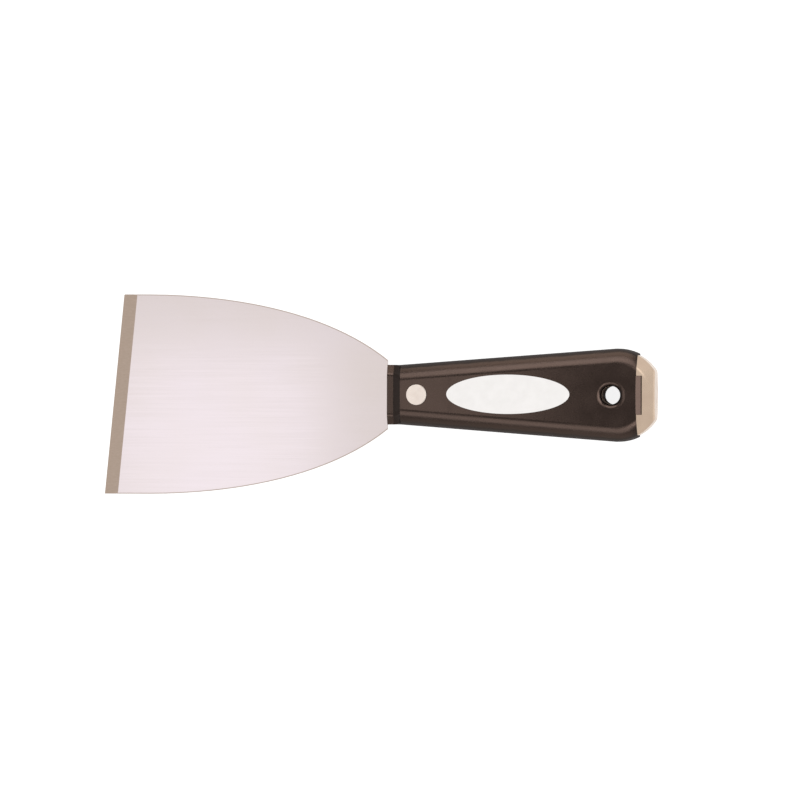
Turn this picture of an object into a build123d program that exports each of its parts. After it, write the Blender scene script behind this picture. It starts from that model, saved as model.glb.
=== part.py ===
"""Stiff 3 inch joint knife with a hammer butt: a blade with its full tang, two
moulded handle scales, a two-piece compression rivet and a drawn steel cap.

Frame: the origin is the centre of the hang hole, in the middle of the thickness.
-X is the blade, +X the hammer cap, and +Z leaves the face with the ground bevel.
"""
import os
from math import cos, hypot, radians, sin, sqrt, tan

from build123d import *

os.makedirs("parts", exist_ok=True)

# Places along the tool, measured from the hang hole
edge_to_hole = 191.2
side_end_to_hole = 177.2
handle_front_to_hole = 86.2
rivet_to_hole = 74.6
lip_to_hole = 9.5
hammer_face_to_hole = 16.7

# Blade and tang, one steel stamping
blade_width = 76.2
blade_thickness = 1.5
edge_skew = 5.5
bevel_width = 5.1
edge_land = 0.3
side_chamfer = 0.35
neck_width = 26.4
neck_angle = 39.0
side_pull = 22.0
neck_pull = 34.0
tang_width = 16.0
tang_tail_width = 10.0
tang_eye_wall = 3.6

# Handle: two scales that meet on the middle plane
collar_width = 22.8
collar_length = 2.4
collar_height = 4.4
collar_shoulder = 3.6
collar_drop = 2.5
riser_length = 2.8
grip_front_height = 6.9
butt_height = 10.9
butt_radius = 17.8
butt_centre_to_hole = 2.0
crown_end_to_hole = 7.0
crown_steps = 4
shoulder_width = 5.0
shoulder_drop = 4.0
crease_radius = 3.0
rim_radius = 1.8
lip_bow = 0.6

# Hang hole through both scales
hang_radius = 3.5
hang_edge_roll = 2.25
hang_boss_wall = 2.0

# Inside of the scales
tang_clearance = 0.15
core_count = 4
core_pitch = 13.0
core_length = 10.5
core_width = 11.5
core_depth = 4.5
core_corner = 1.5
core_centre_to_hole = 40.0
peg_radius = 1.2
peg_length = 3.0
peg_clearance = 0.1
peg_places_to_hole = (58.0, 14.0)

# Compression rivet
rivet_head_radius = 3.9
rivet_head_height = 2.1
rivet_proud = 0.5
rivet_edge = 0.25
rivet_tube_radius = 2.4
rivet_pin_radius = 1.5
rivet_clearance = 0.08
rivet_end_gap = 1.0

# Hammer cap
cap_inset = 0.55
cap_wall = 1.2
cap_clearance = 0.1
cap_edge_radius = 2.4
tongue_width = 14.7
tongue_length = 2.3
tongue_step = 0.3
tongue_fall = 0.9

# Places and sizes that follow from those
handle_front_x = -handle_front_to_hole
collar_end_x = handle_front_x + collar_length
grip_front_x = collar_end_x + riser_length
rivet_x = -rivet_to_hole
butt_x = butt_centre_to_hole
crown_end_x = -crown_end_to_hole
boss_radius = hang_radius + hang_boss_wall
cap_inner_x = hammer_face_to_hole - cap_wall
spigot_inset = cap_inset + cap_wall + cap_clearance

# The face of a scale is crowned: an arc from the front of the grip that runs out level
# just before the hang hole, from where the face is flat
crown_length = crown_end_x - grip_front_x
crown_rise = butt_height - grip_front_height
crown_radius = (crown_length**2 + crown_rise**2) / (2 * crown_rise)


def face_height(x):
    """Height of a scale's face above the middle plane."""
    before_end = max(crown_end_x - x, 0)
    return butt_height - crown_radius + sqrt(crown_radius**2 - before_end**2)


def grip_half_width(x):
    """Half width of the grip, which flares straight from the collar to the round butt."""
    share = (x - grip_front_x) / (butt_x - grip_front_x)
    return collar_width / 2 + share * (butt_radius - collar_width / 2)


def section(x, half_width, height, shoulder, drop, rolled=True, whole=True):
    """Upper half of a cross-section: wall, rim, shoulder, crease and flat face."""
    with BuildSketch(Plane.YZ.offset(x)) as profile:
        with BuildLine():
            Polyline(
                (0, 0),
                (half_width, 0),
                (half_width, height - drop),
                (half_width - shoulder, height),
                (0, height),
                close=True,
            )
        make_face()
        if rolled:
            corners = profile.vertices()
            fillet(corners.sort_by_distance((half_width - shoulder, height))[0], crease_radius)
            fillet(corners.sort_by_distance((half_width, height - drop))[0], rim_radius)
        if whole:
            mirror(about=Plane.YZ)
    return profile.sketch


def round_butt(inset, rolled):
    """Upper half of the round butt, lying inside the outer surface by inset."""
    lost = inset * (shoulder_width + shoulder_drop - hypot(shoulder_width, shoulder_drop))
    shoulder = shoulder_width - lost / shoulder_drop
    drop = shoulder_drop - lost / shoulder_width
    radius = butt_radius - inset
    with BuildPart() as disc:
        add(section(butt_x, radius, butt_height - inset, shoulder, drop, rolled, whole=False))
        revolve(axis=Axis((butt_x, 0, 0), (0, 0, -1)), revolution_arc=180)
    return disc.part


def lip_region(lip_x, far_x):
    """Plan region between the bowed line where scales and cap meet and a far line."""
    with BuildSketch() as region:
        with BuildLine():
            ThreePointArc(
                (lip_x + lip_bow, butt_radius), (lip_x, 0), (lip_x + lip_bow, -butt_radius)
            )
            Polyline(
                (lip_x + lip_bow, -butt_radius),
                (far_x, -butt_radius),
                (far_x, butt_radius),
                (lip_x + lip_bow, butt_radius),
            )
        make_face()
    return region.sketch


def tang_shape(gap):
    """Plan of the tang inside the handle, grown by a gap on every side."""
    with BuildSketch() as shape:
        with Locations((handle_front_x, 0)):
            Rectangle(
                handle_front_to_hole, tang_width + 2 * gap, align=(Align.MIN, Align.CENTER)
            )
        Rectangle(cap_inner_x, tang_tail_width + 2 * gap, align=(Align.MIN, Align.CENTER))
        Circle(boss_radius + tang_clearance + tang_eye_wall + gap)
        Circle(boss_radius + tang_clearance - gap, mode=Mode.SUBTRACT)
    return shape.sketch


def peg_places():
    """Centres of the locating pegs, midway between the tang and the handle's sides."""
    places = []
    for to_hole in peg_places_to_hole:
        y = (tang_width / 2 + grip_half_width(-to_hole)) / 2
        places += [(-to_hole, y, 0), (-to_hole, -y, 0)]
    return places


def scale_blank():
    """One moulded scale, with its face towards +Z and its joint on the middle plane."""
    with BuildPart() as blank:
        # Collar against the blade, and the riser up to the grip
        collar = (collar_width / 2, collar_height, collar_shoulder, collar_drop)
        grip_front = (collar_width / 2, grip_front_height, shoulder_width, shoulder_drop)
        add(section(handle_front_x, *collar))
        add(section(collar_end_x, *collar))
        loft(ruled=True)
        add(section(collar_end_x, *collar))
        add(section(grip_front_x, *grip_front))
        loft(ruled=True)
        # Flared and crowned grip
        stations = [grip_front_x + crown_length * step / crown_steps for step in range(crown_steps)]
        for x in (*stations, crown_end_x, butt_x):
            add(section(x, grip_half_width(x), face_height(x), shoulder_width, shoulder_drop))
        loft(ruled=True)
        # Round butt, cut back to the bowed line of the lip
        add(round_butt(0, rolled=True))
        extrude(lip_region(lip_to_hole, 2 * handle_front_x), 2 * butt_height, mode=Mode.INTERSECT)
        # Spigot that fills the cap
        add(round_butt(spigot_inset, rolled=False))
        split(bisect_by=Plane.YZ.offset(cap_inner_x - cap_clearance), keep=Keep.BOTTOM)
        # Tongue that stands in the notch of the cap's lip
        tongue_top = face_height(lip_to_hole) - tongue_step
        tongue_root = face_height(lip_to_hole) - 2 * spigot_inset
        with BuildSketch(Plane.XZ):
            with BuildLine():
                Polyline(
                    (lip_to_hole - tongue_length, tongue_root),
                    (lip_to_hole - tongue_length, tongue_top),
                    (lip_to_hole, tongue_top),
                    (lip_to_hole + tongue_length, tongue_top - tongue_fall),
                    (lip_to_hole + tongue_length, tongue_root),
                    close=True,
                )
            make_face()
        extrude(amount=tongue_width / 2, both=True)
        # Half of the tang's slot, left standing as a boss around the hang hole
        extrude(tang_shape(tang_clearance), blade_thickness / 2, mode=Mode.SUBTRACT)
        # Cored pockets between ribs, over the middle of the tang
        with BuildSketch(Plane.XY.offset(blade_thickness / 2)):
            with Locations((-core_centre_to_hole, 0)):
                with GridLocations(core_pitch, 0, core_count, 1):
                    RectangleRounded(core_length, core_width, core_corner)
        extrude(amount=core_depth, mode=Mode.SUBTRACT)
        # Hang hole with a rolled edge
        with BuildSketch(Plane.XZ):
            with BuildLine():
                rolled_from = butt_height - hang_edge_roll
                rolled_to = hang_radius + hang_edge_roll
                Polyline((rolled_to, butt_height), (0, butt_height), (0, 0), (hang_radius, 0))
                Line((hang_radius, 0), (hang_radius, rolled_from))
                Bezier((hang_radius, rolled_from), (hang_radius, butt_height), (rolled_to, butt_height))
            make_face()
        revolve(axis=Axis.Z, mode=Mode.SUBTRACT)
        # Counterbored seat of the rivet
        with Locations((rivet_x, 0, face_height(rivet_x))):
            CounterBoreHole(
                rivet_tube_radius + rivet_clearance,
                rivet_head_radius + rivet_clearance,
                rivet_head_height - rivet_proud,
                face_height(rivet_x),
            )
    return blank.part


with BuildPart() as blade:
    half_blade = blade_width / 2
    corner_shift = half_blade * tan(radians(edge_skew))
    with BuildSketch():
        with BuildLine():
            for side in (1, -1):
                edge_corner = (side * corner_shift - edge_to_hole, side * half_blade)
                side_end = (-side_end_to_hole, side * half_blade)
                neck = (handle_front_x, side * neck_width / 2)
                Line(edge_corner, side_end)
                Bezier(
                    side_end,
                    (side_end[0] + side_pull, side_end[1]),
                    (
                        neck[0] - neck_pull * cos(radians(neck_angle)),
                        neck[1] + side * neck_pull * sin(radians(neck_angle)),
                    ),
                    neck,
                )
                Line(neck, (handle_front_x, 0))
                Line(edge_corner, (-edge_to_hole, 0))
        make_face()
    extrude(amount=blade_thickness / 2, both=True)
    # Broken side edges, from the cutting edge to the neck
    flats = blade.faces().filter_by(Axis.Z)
    sides = flats.edges().filter_by(lambda edge: abs(edge.center().Y) > neck_width / 2)
    chamfer(sides, length=side_chamfer)
    # Full tang
    with BuildSketch():
        add(tang_shape(0))
        with Locations((rivet_x, 0)):
            Circle(rivet_tube_radius + rivet_clearance, mode=Mode.SUBTRACT)
    extrude(amount=blade_thickness / 2, both=True)
    # Chisel bevel, ground on the upper face only
    across = Vector(cos(radians(edge_skew)), -sin(radians(edge_skew)), 0)
    edge_plane = Plane(
        (-edge_to_hole, 0, blade_thickness / 2),
        x_dir=across,
        z_dir=across.cross(Vector(0, 0, 1)),
    )
    with BuildSketch(edge_plane):
        with BuildLine():
            grind = (blade_thickness - edge_land) / bevel_width
            Polyline(
                (bevel_width, 0),
                (-bevel_width, -2 * grind * bevel_width),
                (-bevel_width, bevel_width),
                (bevel_width, bevel_width),
                close=True,
            )
        make_face()
    extrude(amount=blade_width, both=True, mode=Mode.SUBTRACT)
blade.part.label = "blade"

with BuildPart() as front_scale:
    add(scale_blank())
    with Locations(*peg_places()):
        Cylinder(peg_radius, peg_length, align=(Align.CENTER, Align.CENTER, Align.MAX))
front_scale.part.label = "front_scale"

with BuildPart() as back_scale:
    add(scale_blank())
    with Locations(*peg_places()):
        Cylinder(
            peg_radius + peg_clearance,
            peg_length + peg_clearance,
            align=(Align.CENTER, Align.CENTER, Align.MIN),
            mode=Mode.SUBTRACT,
        )
    mirror(about=Plane.XY, mode=Mode.REPLACE)
back_scale.part.label = "back_scale"

# The rivet's heads seat in the counterbores, and its pin runs down inside its tube
head_face_z = face_height(rivet_x) + rivet_proud
head_seat_z = head_face_z - rivet_head_height

with BuildPart() as rivet_pin:
    with Locations((rivet_x, 0, head_seat_z)):
        Cylinder(
            rivet_head_radius, rivet_head_height, align=(Align.CENTER, Align.CENTER, Align.MIN)
        )
        Cylinder(
            rivet_pin_radius,
            2 * head_seat_z - 2 * rivet_end_gap,
            align=(Align.CENTER, Align.CENTER, Align.MAX),
        )
    chamfer(rivet_pin.edges().sort_by(Axis.Z)[-1], length=rivet_edge)
rivet_pin.part.label = "rivet_pin"

with BuildPart() as rivet_tube:
    with Locations((rivet_x, 0, -head_seat_z)):
        Cylinder(
            rivet_head_radius, rivet_head_height, align=(Align.CENTER, Align.CENTER, Align.MAX)
        )
        Cylinder(
            rivet_tube_radius,
            2 * head_seat_z - rivet_end_gap,
            align=(Align.CENTER, Align.CENTER, Align.MIN),
        )
        Cylinder(
            rivet_pin_radius + rivet_clearance,
            2 * head_seat_z,
            align=(Align.CENTER, Align.CENTER, Align.MIN),
            mode=Mode.SUBTRACT,
        )
    chamfer(rivet_tube.edges().sort_by(Axis.Z)[0], length=rivet_edge)
rivet_tube.part.label = "rivet_tube"

with BuildPart() as hammer_cap:
    add(round_butt(cap_inset, rolled=True))
    mirror(about=Plane.XY)
    split(bisect_by=Plane.YZ.offset(hammer_face_to_hole), keep=Keep.BOTTOM)
    fillet(hammer_cap.faces().filter_by(Axis.X).sort_by(Axis.X)[-1].edges(), radius=cap_edge_radius)
    # Cavity that the spigot fills
    with BuildPart(mode=Mode.PRIVATE) as cavity:
        add(round_butt(cap_inset + cap_wall, rolled=False))
        mirror(about=Plane.XY)
        split(bisect_by=Plane.YZ.offset(cap_inner_x), keep=Keep.BOTTOM)
    add(cavity.part, mode=Mode.SUBTRACT)
    extrude(
        lip_region(lip_to_hole + cap_clearance, 2 * hammer_face_to_hole),
        2 * butt_height,
        both=True,
        mode=Mode.INTERSECT,
    )
    # A notch in each broad lip keys the cap on the tongues of the scales
    with BuildSketch():
        with Locations((lip_to_hole - lip_bow, 0)):
            Rectangle(
                tongue_length + lip_bow + cap_clearance,
                tongue_width + 2 * cap_clearance,
                align=(Align.MIN, Align.CENTER),
            )
    extrude(amount=2 * butt_height, both=True, mode=Mode.SUBTRACT)
hammer_cap.part.label = "hammer_cap"

export_step(blade.part, "parts/blade.step")
export_step(front_scale.part, "parts/front_scale.step")
export_step(back_scale.part, "parts/back_scale.step")
export_step(rivet_pin.part, "parts/rivet_pin.step")
export_step(rivet_tube.part, "parts/rivet_tube.step")
export_step(hammer_cap.part, "parts/hammer_cap.step")
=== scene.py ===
import math

import bmesh
import bpy
from mathutils import Matrix, Vector


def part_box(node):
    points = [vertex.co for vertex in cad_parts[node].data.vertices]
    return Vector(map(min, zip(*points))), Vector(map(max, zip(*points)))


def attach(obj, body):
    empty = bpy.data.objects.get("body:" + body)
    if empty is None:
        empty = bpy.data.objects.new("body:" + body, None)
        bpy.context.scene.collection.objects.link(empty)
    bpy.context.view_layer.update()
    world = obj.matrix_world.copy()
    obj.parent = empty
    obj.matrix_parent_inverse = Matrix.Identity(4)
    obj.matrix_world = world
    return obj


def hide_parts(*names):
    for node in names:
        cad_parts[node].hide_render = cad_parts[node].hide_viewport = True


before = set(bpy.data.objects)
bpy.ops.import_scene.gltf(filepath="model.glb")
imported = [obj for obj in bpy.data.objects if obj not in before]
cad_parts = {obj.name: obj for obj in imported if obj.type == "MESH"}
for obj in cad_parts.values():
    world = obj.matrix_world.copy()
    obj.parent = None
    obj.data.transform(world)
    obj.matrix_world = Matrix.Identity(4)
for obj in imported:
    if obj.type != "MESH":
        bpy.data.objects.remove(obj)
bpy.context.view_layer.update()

mm = 0.001
print("frame loaded:", len(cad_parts), "nodes")


# Small helpers for the node trees of the materials
# An input may be a number, a vector, a colour or another node's output
def addNode(material, kind, inputs=None, **settings):
    node = material.node_tree.nodes.new("ShaderNode" + kind)
    for name, value in settings.items():
        setattr(node, name, value)
    for socket, value in (inputs or {}).items():
        if hasattr(value, "is_output"):
            material.node_tree.links.new(value, node.inputs[socket])
        else:
            node.inputs[socket].default_value = value
    return node


def newFinish(name, metallic, sockets=None):
    material = bpy.data.materials.new(name)
    material.use_nodes = True
    shader = material.node_tree.nodes["Principled BSDF"]
    shader.inputs["Metallic"].default_value = metallic
    for socket, value in (sockets or {}).items():
        shader.inputs[socket].default_value = value
    place = addNode(material, "TexCoord").outputs["Object"]
    return material, shader, place


def noise(material, place, scale, detail=3.0):
    return addNode(
        material, "TexNoise", {"Vector": place, "Scale": scale, "Detail": detail}
    ).outputs["Fac"]


def streaks(material, place, stretch, detail=3.0):
    moved = addNode(material, "Mapping", {"Vector": place, "Scale": stretch})
    return noise(material, moved.outputs[0], 1.0, detail)


def between(material, fac, low, high, fromLow=0.3, fromHigh=0.7):
    return addNode(
        material,
        "MapRange",
        {"Value": fac, "From Min": fromLow, "From Max": fromHigh, "To Min": low, "To Max": high},
    ).outputs[0]


def compute(material, operation, first, second=0.0, clamp=False):
    return addNode(
        material, "Math", {0: first, 1: second}, operation=operation, use_clamp=clamp
    ).outputs[0]


# The Mix node keeps its two colours in sockets 6 and 7, and its two numbers in 2 and 3
def blend(material, fac, first, second):
    colors = {
        socket: value if hasattr(value, "is_output") else (*value, 1)
        for socket, value in ((6, first), (7, second))
    }
    return addNode(material, "Mix", {0: fac, **colors}, data_type="RGBA").outputs[2]


def blendNumber(material, fac, first, second):
    return addNode(material, "Mix", {0: fac, 2: first, 3: second}).outputs[0]


def addBump(material, shader, height, depth, strength=1.0, below=None):
    bump = addNode(material, "Bump", {"Height": height, "Distance": depth, "Strength": strength})
    if below is not None:
        material.node_tree.links.new(below, bump.inputs["Normal"])
    material.node_tree.links.new(bump.outputs[0], shader.inputs["Normal"])
    return bump.outputs[0]


def link(material, shader, color, roughness):
    material.node_tree.links.new(color, shader.inputs["Base Color"])
    material.node_tree.links.new(roughness, shader.inputs["Roughness"])


def dress(piece, material):
    if piece.material_slots:
        for slot in piece.material_slots:
            slot.material = material
    else:
        piece.data.materials.append(material)


def pick(*pieces):
    bpy.ops.object.select_all(action="DESELECT")
    for piece in pieces:
        piece.select_set(True)
        bpy.context.view_layer.objects.active = piece


# Blade: polished stamping, sheared at its sides, with a ground bevel at its edge whose darker
# colour is mostly painted dim reflection
blade = {
    "polished": (0.715, 0.635, 0.635),
    "polishedWarm": (0.70, 0.62, 0.60),
    # the ground bevel's colours are the steel darkened, mostly as a painted dim reflection; its
    # grain and roughness are real
    "ground": (0.40, 0.31, 0.25),
    "groundDimmedPale": (0.45, 0.355, 0.29),
    "sheared": (0.46, 0.38, 0.34),
    "skew": math.radians(5.5),
    "bevelWidth": 5.1 * mm,
    "cloud": 26.0,
    "grain": (30, 2200, 2200),
    "groundGrain": (90, 3200, 3200),
    "grainDepth": 0.004 * mm,
    "roughness": (0.14, 0.22),
    "groundRoughness": (0.3, 0.42),
    "shearedRoughness": 0.45,
    "shearedTilt": 0.9,
}
bladeLow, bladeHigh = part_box("blade")


def makeBladeFinish():
    steel, shader, place = newFinish("polishedBladeSteel", 1.0)
    grain = streaks(steel, place, blade["grain"])
    cloud = noise(steel, place, blade["cloud"], 2.0)
    # the skewed edge runs back from the blade's foremost corner
    edgeToHole = -bladeLow.x - bladeHigh.y * math.tan(blade["skew"])
    fromEdge = addNode(
        steel,
        "Mapping",
        {
            "Vector": place,
            "Rotation": (0, 0, blade["skew"]),
            "Location": (edgeToHole * math.cos(blade["skew"]), 0, 0),
        },
    ).outputs[0]
    groundGrain = streaks(steel, fromEdge, blade["groundGrain"], 4.0)
    parts = addNode(steel, "SeparateXYZ", {0: fromEdge}).outputs
    onBevel = compute(steel, "LESS_THAN", parts[0], blade["bevelWidth"])
    offBack = compute(steel, "GREATER_THAN", parts[2], bladeLow.z * 0.95)
    ground = compute(steel, "MULTIPLY", onBevel, offBack)
    facing = addNode(steel, "SeparateXYZ", {0: addNode(steel, "NewGeometry").outputs["Normal"]})
    flat = compute(steel, "ABSOLUTE", facing.outputs[2])
    sheared = compute(steel, "LESS_THAN", flat, blade["shearedTilt"])
    polished = blend(steel, between(steel, cloud, 0, 1), blade["polished"], blade["polishedWarm"])
    # the bevel's colour: steel darkened as a painted dim reflection
    groundPaintedDimColor = blend(
        steel, between(steel, groundGrain, 0, 1), blade["ground"], blade["groundDimmedPale"]
    )
    color = blend(steel, ground, polished, groundPaintedDimColor)
    color = blend(steel, sheared, color, blade["sheared"])
    smooth = between(steel, grain, *blade["roughness"])
    coarse = between(steel, groundGrain, *blade["groundRoughness"])
    rough = blendNumber(steel, ground, smooth, coarse)
    rough = blendNumber(steel, sheared, rough, blade["shearedRoughness"])
    link(steel, shader, color, rough)
    height = blendNumber(steel, ground, grain, groundGrain)
    addBump(steel, shader, height, blade["grainDepth"], 0.5)
    return steel


dress(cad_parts["blade"], makeBladeFinish())
print("blade dressed")

# Handle scales: moulded black nylon with a warm sheen. The sizes from gripFront to rimRadius
# are those of the CAD scales, so that the vertices on their face are found by place.
scales = {
    "nylon": (0.0042, 0.0028, 0.0025),
    "nylonPale": (0.0075, 0.0051, 0.0045),
    "sheenTint": (1.0, 0.69, 0.57),
    "specular": 0.22,
    "roughness": (0.22, 0.29),
    "mottle": 120.0,
    "pebble": 1500.0,
    "pebbleDepth": 0.02 * mm,
    # bore colours: painted light, a lit brown copy of the black nylon
    "bore": (0.17, 0.105, 0.066),
    "boreLitPale": (0.13, 0.082, 0.052),
    # side wall colours: painted light, a paler lit copy of the black nylon
    "wall": (0.035, 0.024, 0.018),
    "wallLitPale": (0.026, 0.018, 0.014),
    "dullSpecular": 0.12,
    "dullRoughness": (0.8, 0.95),
    "dullMottle": 300.0,
    "boreRadius": 3.55 * mm,
    "holeEdge": 5.7 * mm,
    "wallTilt": 0.12,
    "gripFront": -81.0 * mm,
    "crownEnd": -7.0 * mm,
    "crownBands": 4,
    "frontHeight": 6.9 * mm,
    "frontHalfWidth": 11.4 * mm,
    "buttCentre": 2.0 * mm,
    "lip": 9.5 * mm,
    "lipBow": 0.65 * mm,
    "slopeWidth": 5.0 * mm,
    "slopeDrop": 4.0 * mm,
    "creaseRadius": 3.0 * mm,
    "rimRadius": 1.8 * mm,
    "rollWidth": 6.2 * mm,
    "rollFullness": 1.6,
    "steepest": 1.9,
    "cutSpacing": 2.3 * mm,
    "rollCuts": 11,
    "rollCrowding": 1.7,
    "buttCuts": 2,
    "creaseAngle": math.radians(25),
}


def makeNylonFinish():
    nylon, shader, place = newFinish(
        "mouldedNylon",
        0.0,
        {
            "Specular IOR Level": scales["specular"],
            "Specular Tint": (*scales["sheenTint"], 1),
        },
    )
    mottle = noise(nylon, place, scales["mottle"], 4.0)
    pebble = noise(nylon, place, scales["pebble"])
    color = blend(nylon, between(nylon, mottle, 0, 1), scales["nylon"], scales["nylonPale"])
    link(nylon, shader, color, between(nylon, mottle, *scales["roughness"]))
    addBump(nylon, shader, pebble, scales["pebbleDepth"], 0.6)
    return nylon


# The walls of the hole and of the sides are as they left the mould, dull and not polished, and
# are given paler colours than the black nylon as painted light
def makeDullFinish(name, shade, shadePale):
    dull, shader, place = newFinish(name, 0.0, {"Specular IOR Level": scales["dullSpecular"]})
    mottle = noise(dull, place, scales["dullMottle"])
    color = blend(dull, between(dull, mottle, 0, 1), shade, shadePale)
    link(dull, shader, color, between(dull, mottle, *scales["dullRoughness"]))
    addBump(dull, shader, noise(dull, place, scales["pebble"]), scales["pebbleDepth"], 0.8)
    return dull


# Height of the crowned face: an arc that runs out level before the hang hole
def faceHeight(x):
    span = scales["crownEnd"] - scales["gripFront"]
    rise = crownTop - scales["frontHeight"]
    radius = (span**2 + rise**2) / (2 * rise)
    before = min(max(scales["crownEnd"] - x, 0), span)
    return crownTop - radius + math.sqrt(radius**2 - before**2)


# The CAD crown is a few flat bands: how far a point on them lies under the arc
def crownLift(x):
    start, end = scales["gripFront"], scales["crownEnd"]
    if not start < x < end:
        return 0.0
    band = (end - start) / scales["crownBands"]
    low = start + math.floor((x - start) / band) * band
    share = (x - low) / band
    return faceHeight(x) - faceHeight(low) * (1 - share) - faceHeight(low + band) * share


# Distance inwards from the outline of the handle, seen from above
def inFromSide(x, y):
    if x > scales["buttCentre"]:
        return buttRadius - math.hypot(x - scales["buttCentre"], y)
    share = (x - scales["gripFront"]) / (scales["buttCentre"] - scales["gripFront"])
    return scales["frontHalfWidth"] * (1 - share) + buttRadius * share - abs(y)


# How far the CAD shoulder lies under the face: a rim, a flat slope and a crease
def slopeFall(inwards):
    width, drop = scales["slopeWidth"], scales["slopeDrop"]
    tilt = math.atan2(drop, width)
    rim, crease = scales["rimRadius"], scales["creaseRadius"]
    if inwards < rim * (1 - math.sin(tilt)):
        return rollDrop - math.sqrt(max(rim**2 - (rim - inwards) ** 2, 0))
    creaseEnd = width + crease * math.tan(tilt / 2)
    if inwards < creaseEnd - crease * math.sin(tilt):
        return drop * (1 - inwards / width)
    return crease - math.sqrt(crease**2 - max(creaseEnd - inwards, 0) ** 2)


# The fuller roll that takes its place, from the wall to level with the face
def rolledHeight(x, y):
    share = 1 - min(max(inFromSide(x, y) / scales["rollWidth"], 0), 1)
    power = scales["rollFullness"]
    return faceHeight(x) - rollDrop * (1 - (1 - share**power) ** (1 / power))


# Its normal, from small steps along both axes. Near the wall it is held at a lesser slope,
# so that the rim doesn't shine.
def rolledNormal(place):
    step = 0.05 * mm
    side = math.copysign(1, place.z)
    x = max(place.x, scales["gripFront"] + step)
    y = place.y - math.copysign(min(step, abs(place.y)), place.y)
    alongX = (rolledHeight(x + step, y) - rolledHeight(x - step, y)) / (2 * step)
    alongY = (rolledHeight(x, y + step) - rolledHeight(x, y - step)) / (2 * step)
    shallower = min(1, scales["steepest"] / max(math.hypot(alongX, alongY), 1e-9))
    return Vector((-alongX * shallower, -alongY * shallower, side)).normalized()


# A vertex of the outer face or shoulders lies close to their section, outside the hang hole
def onCadFace(place):
    if not scales["gripFront"] - 0.01 * mm <= place.x <= scales["lip"] + scales["lipBow"]:
        return False
    if math.hypot(place.x, place.y) < scales["holeEdge"]:
        return False
    inwards = inFromSide(place.x, place.y)
    under = faceHeight(place.x) - crownLift(place.x) - abs(place.z)
    if under > rollDrop + 0.03 * mm or inwards < -0.1 * mm:
        return False
    if inwards > scales["rollWidth"]:
        return under < 0.1 * mm
    return any(
        math.hypot(away, under - slopeFall(max(inwards + away, 0))) < 0.2 * mm
        for away in (step * 0.02 * mm for step in range(-9, 10))
    )


def selectFaces(piece, wanted):
    mesh = bmesh.from_edit_mesh(piece.data)
    for face in mesh.faces:
        face.select_set(bool(wanted(face)))
    mesh.select_flush_mode()
    bmesh.update_edit_mesh(piece.data)


def isShoulder(face):
    corners = [vertex.co for vertex in face.verts]
    return all(onCadFace(place) for place in corners) and any(
        inFromSide(place.x, place.y) < scales["rollWidth"] for place in corners
    )


# A copy of the CAD scale is merged, cut across and along, and its crown and shoulders are
# then rounded as they leave the mould
def smoothScale(node, name):
    copy = bpy.data.objects.new(name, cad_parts[node].data.copy())
    bpy.context.scene.collection.objects.link(copy)
    pick(copy)
    bpy.ops.mesh.customdata_custom_splitnormals_clear()
    bpy.ops.object.mode_set(mode="EDIT")
    bpy.ops.mesh.select_mode(type="FACE")
    bpy.ops.mesh.select_all(action="SELECT")
    bpy.ops.mesh.remove_doubles(threshold=0.002 * mm)
    across = scales["gripFront"] + scales["cutSpacing"]
    while across < scales["lip"]:
        bpy.ops.mesh.select_all(action="SELECT")
        bpy.ops.mesh.bisect(plane_co=(across, 0, 0), plane_no=(1, 0, 0))
        across += scales["cutSpacing"]
    flare = buttRadius - scales["frontHalfWidth"]
    length = scales["buttCentre"] - scales["gripFront"]
    for side in (1, -1):
        for cut in range(1, scales["rollCuts"]):
            inwards = scales["rollWidth"] * (cut / scales["rollCuts"]) ** scales["rollCrowding"]
            selectFaces(copy, isShoulder)
            bpy.ops.mesh.bisect(
                plane_co=(scales["gripFront"], side * (scales["frontHalfWidth"] - inwards), 0),
                plane_no=(-side * flare, length, 0),
            )
    selectFaces(
        copy,
        lambda face: face.calc_center_median().x > scales["buttCentre"] and isShoulder(face),
    )
    bpy.ops.mesh.subdivide(number_cuts=scales["buttCuts"])
    bpy.ops.object.mode_set(mode="OBJECT")
    mesh = copy.data
    rolled = set()
    for vertex in mesh.vertices:
        if onCadFace(vertex.co):
            height = rolledHeight(vertex.co.x, vertex.co.y)
            vertex.co.z = math.copysign(height, vertex.co.z)
            rolled.add(vertex.index)
    bpy.ops.object.shade_smooth_by_angle(angle=scales["creaseAngle"])
    bpy.ops.object.modifier_add(type="WEIGHTED_NORMAL")
    copy.modifiers[-1].keep_sharp = True
    bpy.ops.object.modifier_apply(modifier=copy.modifiers[-1].name)
    normals = [Vector(corner.vector) for corner in mesh.corner_normals]
    for face in mesh.polygons:
        if all(vertex in rolled for vertex in face.vertices):
            for corner, vertex in zip(face.loop_indices, face.vertices):
                normals[corner] = rolledNormal(mesh.vertices[vertex].co)
    mesh.normals_split_custom_set(normals)
    dress(copy, nylonFinish)
    for dull in (boreLitFinish, wallLitFinish):
        mesh.materials.append(dull)
    for face in mesh.polygons:
        if math.hypot(face.center.x, face.center.y) < scales["boreRadius"]:
            face.material_index = 1
        elif abs(face.normal.z) < scales["wallTilt"]:
            face.material_index = 2
    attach(copy, "root")
    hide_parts(node)
    print(name, "made:", len(mesh.polygons), "faces")
    return copy


# The rim's fillet meets the wall this far under the face
rollDrop = scales["slopeDrop"] + scales["rimRadius"] * math.tan(
    (math.pi / 2 - math.atan2(scales["slopeDrop"], scales["slopeWidth"])) / 2
)
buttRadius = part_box("front_scale")[1].y
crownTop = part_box("front_scale")[1].z
nylonFinish = makeNylonFinish()
# the bore and side walls get painted light, paler copies of the black nylon
boreLitFinish = makeDullFinish("dullBoreNylonPaintedLit", scales["bore"], scales["boreLitPale"])
wallLitFinish = makeDullFinish("dullWallNylonPaintedLit", scales["wall"], scales["wallLitPale"])
frontScale = smoothScale("front_scale", "frontScaleMoulding")
backScale = smoothScale("back_scale", "backScaleMoulding")

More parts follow.
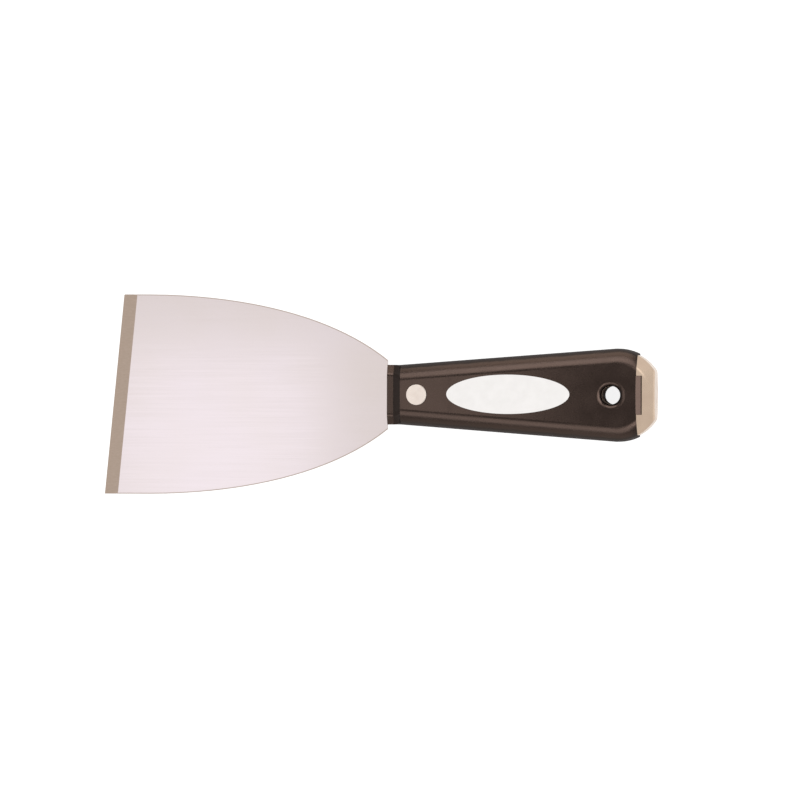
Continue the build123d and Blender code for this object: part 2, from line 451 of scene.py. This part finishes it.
# Bare white oval, printed on the front scale
oval = {
    "length": 47.3 * mm,
    "width": 15.0 * mm,
    "centre": (-39.4 * mm, 0.25 * mm),
    "corners": 128,
    "cuts": 24,
    "clear": 0.01 * mm,
    "ink": 0.04 * mm,
    "white": (0.93, 0.905, 0.885),
    "whiteWorn": (0.88, 0.855, 0.835),
    "specular": 0.3,
    "roughness": (0.42, 0.55),
    "mottle": 260.0,
    "pebbleDepth": 0.006 * mm,
}


def makeInkFinish():
    ink, shader, place = newFinish("whitePrint", 0.0, {"Specular IOR Level": oval["specular"]})
    mottle = noise(ink, place, oval["mottle"], 4.0)
    color = blend(ink, between(ink, mottle, 0, 1, 0.35, 0.75), oval["white"], oval["whiteWorn"])
    link(ink, shader, color, between(ink, mottle, *oval["roughness"]))
    addBump(ink, shader, noise(ink, place, scales["pebble"]), oval["pebbleDepth"], 0.5)
    return ink


# A disc is stretched, cut across, dropped on the crowned face and given its thickness
def makeOval():
    bpy.ops.object.select_all(action="DESELECT")
    high = crownTop + 5 * mm
    bpy.ops.mesh.primitive_circle_add(
        vertices=oval["corners"], radius=1.0, fill_type="NGON", location=(0, 0, 0)
    )
    plate = bpy.context.object
    plate.name = "bareOvalPrint"
    bpy.ops.object.mode_set(mode="EDIT")
    bpy.ops.mesh.select_all(action="SELECT")
    bpy.ops.transform.resize(value=(oval["length"] / 2, oval["width"] / 2, 1))
    bpy.ops.transform.translate(value=(*oval["centre"], high))
    for cut in range(1, oval["cuts"]):
        bpy.ops.mesh.select_all(action="SELECT")
        across = oval["centre"][0] + oval["length"] * (cut / oval["cuts"] - 0.5)
        bpy.ops.mesh.bisect(plane_co=(across, 0, high), plane_no=(1, 0, 0))
    bpy.ops.object.mode_set(mode="OBJECT")
    pick(plate)
    bpy.ops.object.modifier_add(type="SHRINKWRAP")
    wrap = plate.modifiers[-1]
    wrap.target = frontScale
    wrap.wrap_method = "PROJECT"
    wrap.use_project_z = True
    wrap.use_negative_direction = True
    wrap.use_positive_direction = False
    wrap.offset = oval["clear"]
    bpy.ops.object.modifier_apply(modifier=wrap.name)
    bpy.ops.object.modifier_add(type="SOLIDIFY")
    plate.modifiers[-1].thickness = oval["ink"]
    plate.modifiers[-1].offset = 1.0
    bpy.ops.object.modifier_apply(modifier=plate.modifiers[-1].name)
    bpy.ops.object.shade_smooth_by_angle(angle=math.radians(30))
    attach(plate, "root")
    dress(plate, makeInkFinish())
    print("oval made:", len(plate.data.polygons), "faces")


makeOval()

# Rivet: two nickelled heads, turned and lightly brushed
rivet = {
    "nickel": (0.86, 0.76, 0.69),
    "nickelDull": (0.79, 0.69, 0.62),
    "roughness": (0.24, 0.36),
    "mottle": 420.0,
    "rings": 700.0,
    "ringDepth": 0.003 * mm,
}
rivetLow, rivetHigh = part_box("rivet_pin")


def makeRivetFinish():
    nickel, shader, place = newFinish("nickelledRivet", 1.0)
    centre = (rivetLow.x + rivetHigh.x) / 2
    centred = addNode(nickel, "Mapping", {"Vector": place, "Location": (-centre, 0, 0)})
    turned = addNode(
        nickel,
        "TexWave",
        {
            "Vector": centred.outputs[0],
            "Scale": rivet["rings"],
            "Distortion": 1.5,
            "Detail": 2.0,
        },
        wave_type="RINGS",
        rings_direction="Z",
    ).outputs["Fac"]
    mottle = noise(nickel, place, rivet["mottle"])
    color = blend(nickel, between(nickel, mottle, 0, 1), rivet["nickel"], rivet["nickelDull"])
    link(nickel, shader, color, between(nickel, mottle, *rivet["roughness"]))
    addBump(nickel, shader, turned, rivet["ringDepth"], 0.4)
    return nickel


rivetFinish = makeRivetFinish()
dress(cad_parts["rivet_pin"], rivetFinish)
dress(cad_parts["rivet_tube"], rivetFinish)
print("rivet dressed")

# Hammer cap: drawn and nickelled steel with faint dents, its colour darker than nickel as painted
# dim reflection
cap = {
    # the cap's colours are nickel darkened as a painted dim reflection at the butt
    "nickel": (0.57, 0.44, 0.335),
    "nickelDull": (0.52, 0.395, 0.30),
    "roughness": (0.24, 0.36),
    "mottle": 180.0,
    "drawLines": (60, 1600, 1600),
    "lineDepth": 0.004 * mm,
    "dents": 260.0,
    "dentDepth": 0.05 * mm,
}


def makeCapFinish():
    drawn, shader, place = newFinish("drawnCapSteelPaintedDim", 1.0)
    lines = streaks(drawn, place, cap["drawLines"])
    mottle = noise(drawn, place, cap["mottle"])
    dents = noise(drawn, place, cap["dents"], 1.0)
    color = blend(drawn, between(drawn, mottle, 0, 1), cap["nickel"], cap["nickelDull"])
    link(drawn, shader, color, between(drawn, mottle, *cap["roughness"]))
    fine = addBump(drawn, shader, lines, cap["lineDepth"], 0.5)
    addBump(drawn, shader, dents, cap["dentDepth"], 0.4, fine)
    return drawn


dress(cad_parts["hammer_cap"], makeCapFinish())
print("cap dressed")

# The tool rests on its edge and on its back scale or rivet, whichever stands out most, so
# the floor leans in its frame
lean = max(
    math.atan2(bladeLow.z - vertex.co.z, vertex.co.x - bladeLow.x)
    for piece in (backScale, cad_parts["rivet_tube"])
    for vertex in piece.data.vertices
)
upright = Vector((math.sin(lean), 0, math.cos(lean)))

floor = {
    "size": 900 * mm,
    "below": 0.05 * mm,
    "middle": Vector((-80, 0, 0)) * mm,
    "color": (0.4, 0.4, 0.4),
    "whiteness": 0.86,
}


# 1 where the camera sees a surface, plainly, mirrored or through something, and 0 for the
# light that it throws on the tool
def seenDirectly(tree):
    path = addNode(tree, "LightPath").outputs
    seen = compute(tree, "ADD", path["Is Camera Ray"], path["Is Glossy Ray"])
    return compute(tree, "ADD", seen, path["Is Transmission Ray"], clamp=True)


def makeFloor():
    bpy.ops.object.select_all(action="DESELECT")
    drop = bladeLow.dot(upright) - floor["below"]
    middle = floor["middle"]
    bpy.ops.mesh.primitive_plane_add(
        size=floor["size"],
        location=middle + upright * (drop - middle.dot(upright)),
        rotation=(0, lean, 0),
    )
    plane = bpy.context.object
    plane.name = "studioFloor"
    paper, shader, _ = newFinish("paleFloor", 0.0, {"Roughness": 0.9, "Specular IOR Level": 0.0})
    shader.inputs["Base Color"].default_value = (*floor["color"], 1)
    shader.inputs["Emission Color"].default_value = (1, 1, 1, 1)
    glow = compute(paper, "MULTIPLY", seenDirectly(paper), floor["whiteness"])
    paper.node_tree.links.new(glow, shader.inputs["Emission Strength"])
    dress(plane, paper)


makeFloor()
print("floor laid")

# Camera: far above, and leaning a little further to the butt than the floor's upright
camera = {
    "lens": 900,  # mm, as is the sensor
    "sensor": 36,
    "viewWidth": 305.6 * mm,
    "lookAt": Vector((-81.55, -2.03, 0)) * mm,
    "lean": math.radians(5.2),
    "roll": math.radians(0.14),
}


def setCamera():
    bpy.ops.object.select_all(action="DESELECT")
    far = camera["viewWidth"] * camera["lens"] / camera["sensor"]
    towards = Vector((math.sin(camera["lean"]), 0, math.cos(camera["lean"])))
    turned = Matrix.Rotation(camera["lean"], 3, "Y") @ Matrix.Rotation(camera["roll"], 3, "Z")
    bpy.ops.object.camera_add(
        location=camera["lookAt"] + towards * far, rotation=turned.to_euler()
    )
    overhead = bpy.context.object
    overhead.name = "overheadCamera"
    overhead.data.sensor_width = camera["sensor"]
    overhead.data.lens = camera["lens"]
    overhead.data.clip_start = far / 20
    overhead.data.clip_end = far * 3
    bpy.context.scene.camera = overhead


setCamera()
bpy.context.scene.view_settings.view_transform = "Standard"
print("camera set, floor leans", round(math.degrees(lean), 2), "degrees")

# Soft light. A lamp aims at a point in mm and stands at a place in metres from it. The gloss
# lamps show only in the sheen of the pieces that they are for, and the rest stays plain.
glossyScales = [frontScale, backScale]
glossyBlade = [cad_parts["blade"]]
lamps = {
    "keyBox": {
        "aim": (0, 0, 0),
        "from": (0.45, 0.62, 0.5),
        "size": (0.4, 0.4),
        "level": 0.5,
    },
    "fillBox": {
        "aim": (-40, 0, 0),
        "from": (-0.05, -0.8, 0.5),
        "size": (0.4, 0.4),
        "level": 0.5,
    },
    "frontGloss": {
        "aim": (-78, 0, 0),
        "from": (-0.215, 0, 0.48),
        "size": (0.2, 0.4),
        "level": 3.9,
        "only": glossyScales,
    },
    "farGloss": {
        "aim": (-20, 0, 0),
        "from": (-0.04, 0.5, 0.48),
        "size": (0.6, 0.36),
        "level": 7.0,
        "only": glossyScales,
    },
    "farLowGloss": {
        "aim": (-20, 0, 0),
        "from": (0.0, 0.72, 0.14),
        "size": (0.6, 0.36),
        "level": 3.5,
        "color": (1.0, 0.88, 0.76),
        "only": glossyScales,
    },
    "nearGloss": {
        "aim": (-20, 0, 0),
        "from": (-0.08, -0.46, 0.48),
        "size": (0.6, 0.28),
        "level": 4.7,
        "only": glossyScales,
    },
    "nearLowGloss": {
        "aim": (-20, 0, 0),
        "from": (0.0, -0.72, 0.14),
        "size": (0.6, 0.36),
        "level": 1.2,
        "color": (1.0, 0.88, 0.76),
        "only": glossyScales,
    },
    "holeGloss": {
        "aim": (4, 0, 0),
        "from": (0.41, 0.12, 0.54),
        "size": (0.48, 0.56),
        "level": 9.4,
        "only": glossyScales,
    },
    "ringGloss": {
        "aim": (0, 0, 0),
        "from": (0.2, -0.3, 0.54),
        "size": (0.24, 0.2),
        "level": 9.0,
        "only": glossyScales,
    },
    "bladeGloss": {
        "aim": (-156, -34, 0),
        "from": (-0.0272, 0, 0.2988),
        "size": (0.11, 0.09),
        "level": 0.30,
        "color": (0.76, 0.8, 1.0),
        "only": glossyBlade,
    },
}
skyLevel = 0.96


def addLamp(name, setup):
    bpy.ops.object.select_all(action="DESELECT")
    aim = Vector(setup["aim"]) * mm
    offset = Vector(setup["from"])
    bpy.ops.object.light_add(type="AREA", location=aim + offset)
    lamp = bpy.context.object
    lamp.name = name
    lamp.rotation_euler = offset.to_track_quat("Z", "Y").to_euler()
    lamp.data.shape = "RECTANGLE"
    lamp.data.size, lamp.data.size_y = setup["size"]
    # the lamp's brightness doesn't change with its size
    lamp.data.energy = 4 * setup["level"] * lamp.data.size * lamp.data.size_y
    lamp.visible_camera = False
    lamp.data.color = setup.get("color", (1, 1, 1))
    if "only" in setup:
        lamp.visible_diffuse = False
        lit = bpy.data.collections.new(name + "Lit")
        for piece in setup["only"]:
            lit.objects.link(piece)
        lamp.light_linking.receiver_collection = lit


for name, setup in lamps.items():
    addLamp(name, setup)


# A white room, a little dimmer as a light than as it is seen
def setSky():
    sky = bpy.data.worlds.new("whiteStudio")
    bpy.context.scene.world = sky
    sky.use_nodes = True
    background = sky.node_tree.nodes["Background"]
    background.inputs["Color"].default_value = (1, 1, 1, 1)
    level = between(sky, seenDirectly(sky), skyLevel, 1.0, 0.0, 1.0)
    sky.node_tree.links.new(level, background.inputs["Strength"])


setSky()
print("lamps and sky set")
